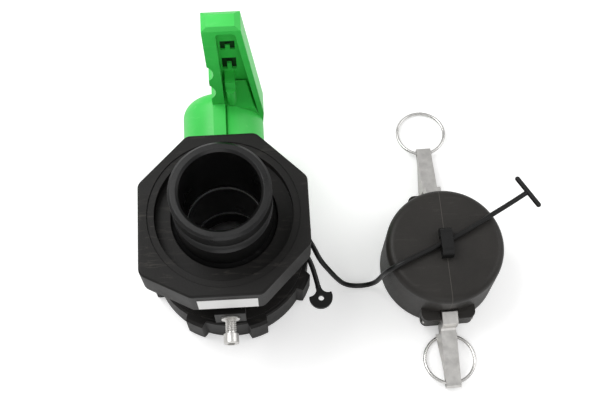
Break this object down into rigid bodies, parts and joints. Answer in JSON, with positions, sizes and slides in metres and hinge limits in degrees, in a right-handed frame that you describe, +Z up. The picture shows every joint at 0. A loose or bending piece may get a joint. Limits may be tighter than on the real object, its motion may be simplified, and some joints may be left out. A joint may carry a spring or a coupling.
{
  "type": "bulk-container tank ball valve with cam-groove outlet and tethered dust cap",
  "caption": "Lever ball valve for a bulk liquid tank: lobed union nut inlet, octagonal outlet nut with a cam-groove adapter, and a strapped dust cap with cam arms and pull rings.",
  "frame": {"origin": "centre of the inlet face, at the mouth of the union nut, on the pipe's axis", "axes": "+Z up the pipe's axis from inlet to outlet, +Y along the stem towards the lever, +X towards the dust cap, which stands beside the valve"},
  "size_m": [0.2707, 0.2099, 0.185],
  "materials": {
    "black_polyethylene": "satin moulded",
    "black_glossy": "smooth semi-gloss",
    "green_handle": "satin moulded",
    "stainless": "cast and tumbled",
    "white_seat": "smooth",
    "gasket": "matt",
    "brass_insert": "knurled",
    "cap_plastic": "fine textured",
    "strap_plastic": "smooth"
  },
  "bodies": {
    "valve": {"valve_body": "black_polyethylene", "outlet_flange": "black_polyethylene", "camlock_adapter": "black_glossy", "outlet_gasket": "gasket", "inlet_gasket": "gasket", "seat_ring_inlet": "white_seat", "seat_ring_outlet": "white_seat", "seat_carrier": "black_polyethylene", "stem_bush": "white_seat", "earthing_insert": "brass_insert", "earthing_washer": "stainless", "earthing_screw": "stainless", "nut_snap_ring": "black_glossy", "strap_loop": "strap_plastic", "strap_lead": "strap_plastic", "strap_tail": "strap_plastic", "anchor_head": "strap_plastic"},
    "handle": {"lever": "green_handle", "lock_slider": "black_glossy", "lever_screw": "stainless", "stem": "black_polyethylene", "ball": "black_glossy", "stem_orings": "gasket"},
    "nut": {"union_nut": "black_polyethylene"},
    "cap": {"cap_body": "cap_plastic", "cap_gasket": "gasket", "cam_pin_a": "stainless", "cam_pin_b": "stainless", "strap_over_cap": "strap_plastic", "strap_end_bar": "strap_plastic"},
    "arm_a": {"cam_arm_a": "stainless"},
    "arm_b": {"cam_arm_b": "stainless"},
    "ring_a": {"pull_ring_a": "stainless"},
    "ring_b": {"pull_ring_b": "stainless"}
  },
  "joints": [
    {"name": "handle_turn", "type": "hinge", "parent": "valve", "child": "handle", "pos_m": [0, 0, 0.06], "axis": [0, -1, 0], "range_deg": [0, 90]},
    {"name": "nut_spin", "type": "hinge", "parent": "valve", "child": "nut", "pos_m": [0, 0, 0], "axis": [0, 0, 1], "continuous": true},
    {"name": "cap_lift", "type": "slide", "parent": "valve", "child": "cap", "axis": [0, 0, 1], "range_m": [0, 0.03]},
    {"name": "arm_a_swing", "type": "hinge", "parent": "cap", "child": "arm_a", "pos_m": [0.14529, 0.03149, 0.0159], "axis": [0.9997, 0.0262, 0], "range_deg": [0, 102]},
    {"name": "arm_b_swing", "type": "hinge", "parent": "cap", "child": "arm_b", "pos_m": [0.14751, -0.05309, 0.0159], "axis": [-0.9997, -0.0262, 0], "range_deg": [0, 102]},
    {"name": "ring_a_swing", "type": "hinge", "parent": "arm_a", "child": "ring_a", "pos_m": [0.14416, 0.0746, 0.00525], "axis": [0.9997, 0.0262, 0], "range_deg": [-60, 70]},
    {"name": "ring_b_swing", "type": "hinge", "parent": "arm_b", "child": "ring_b", "pos_m": [0.14864, -0.0962, 0.00525], "axis": [-0.9997, -0.0262, 0], "range_deg": [0, 170]}
  ]
}
